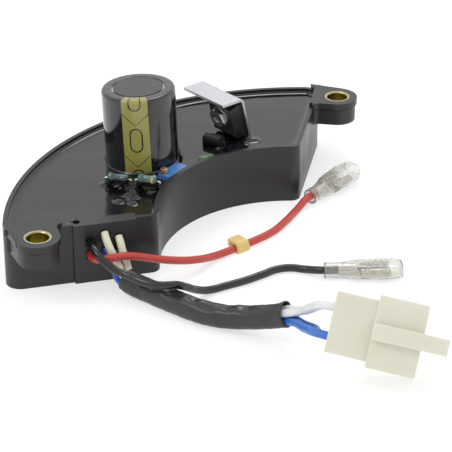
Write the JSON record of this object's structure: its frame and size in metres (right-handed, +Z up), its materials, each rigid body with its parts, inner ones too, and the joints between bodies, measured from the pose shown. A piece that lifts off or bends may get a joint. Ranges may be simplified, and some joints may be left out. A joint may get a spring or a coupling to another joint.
{
  "type": "voltage regulator",
  "caption": "Half-moon automatic voltage regulator for a portable generator: epoxy-filled case with bushed ears, capacitor, trimmer, heat sink and free leads.",
  "frame": {"origin": "midway between the two mounting holes, on the plane that the ears' bushes seat on", "axes": "+X from the left hole to the right hole, +Y towards the outer arc, +Z up, out of the case towards the parts"},
  "size_m": [0.1406, 0.1589, 0.0407],
  "materials": {
    "case_plastic": "moulded thermoplastic, fine grain",
    "epoxy": "cast epoxy, self-levelled glossy surface",
    "plated_steel": "turned, yellow zinc plate",
    "board": "glass-epoxy board with solder mask",
    "can_aluminium": "deep drawn",
    "shrink_sleeve": "shrunk polyester sleeve",
    "sink_aluminium": "mill finish, sheared and bent",
    "moulding": "moulded epoxy compound",
    "zinc": "cold formed, zinc plate",
    "green_dip": "dipped epoxy coat",
    "teal_coat": "lacquered film resistor",
    "blue_plastic": "moulded thermoset",
    "screw_brass": "turned and slotted",
    "red_pvc": "extruded insulation",
    "black_pvc": "extruded insulation and sleeve",
    "white_pvc": "extruded insulation",
    "blue_pvc": "extruded insulation",
    "yellow_plastic": "extruded and cut",
    "tinned_brass": "stamped strip, tin plate",
    "clear_pvc": "soft clear dip-moulded cover",
    "natural_nylon": "moulded, slightly translucent"
  },
  "bodies": {
    "regulator": {"housing": "case_plastic", "potting": "epoxy", "bush_left": "plated_steel", "bush_right": "plated_steel", "circuit_board": "board", "capacitor_can": "can_aluminium", "capacitor_sleeve": "shrink_sleeve", "capacitor_top_disc": "shrink_sleeve", "capacitor_bead": "epoxy", "heat_sink": "sink_aluminium", "power_transistor": "moulding", "clamp_screw": "zinc", "clamp_washer": "zinc", "clamp_nut": "zinc", "rectifier_diode": "moulding", "film_capacitor": "green_dip", "resistor_left": "teal_coat", "resistor_right": "teal_coat", "trimmer_body": "blue_plastic", "red_lead": "red_pvc", "black_lead": "black_pvc", "white_lead_1": "white_pvc", "white_lead_2": "white_pvc", "blue_lead_1": "blue_pvc", "blue_lead_2": "blue_pvc", "harness_sleeve": "black_pvc", "lead_clip": "yellow_plastic", "terminal_red": "tinned_brass", "terminal_black": "tinned_brass", "terminal_cover_red": "clear_pvc", "terminal_cover_black": "clear_pvc", "plug_housing": "natural_nylon", "plug_contacts": "tinned_brass"},
    "adjusting_screw": {"trimmer_screw": "screw_brass"}
  },
  "joints": [
    {"name": "trimmer_turn", "type": "hinge", "parent": "regulator", "child": "adjusting_screw", "pos_m": [-0.01026, 0.00379, 0.0061], "axis": [0, 0, 1], "continuous": true}
  ]
}
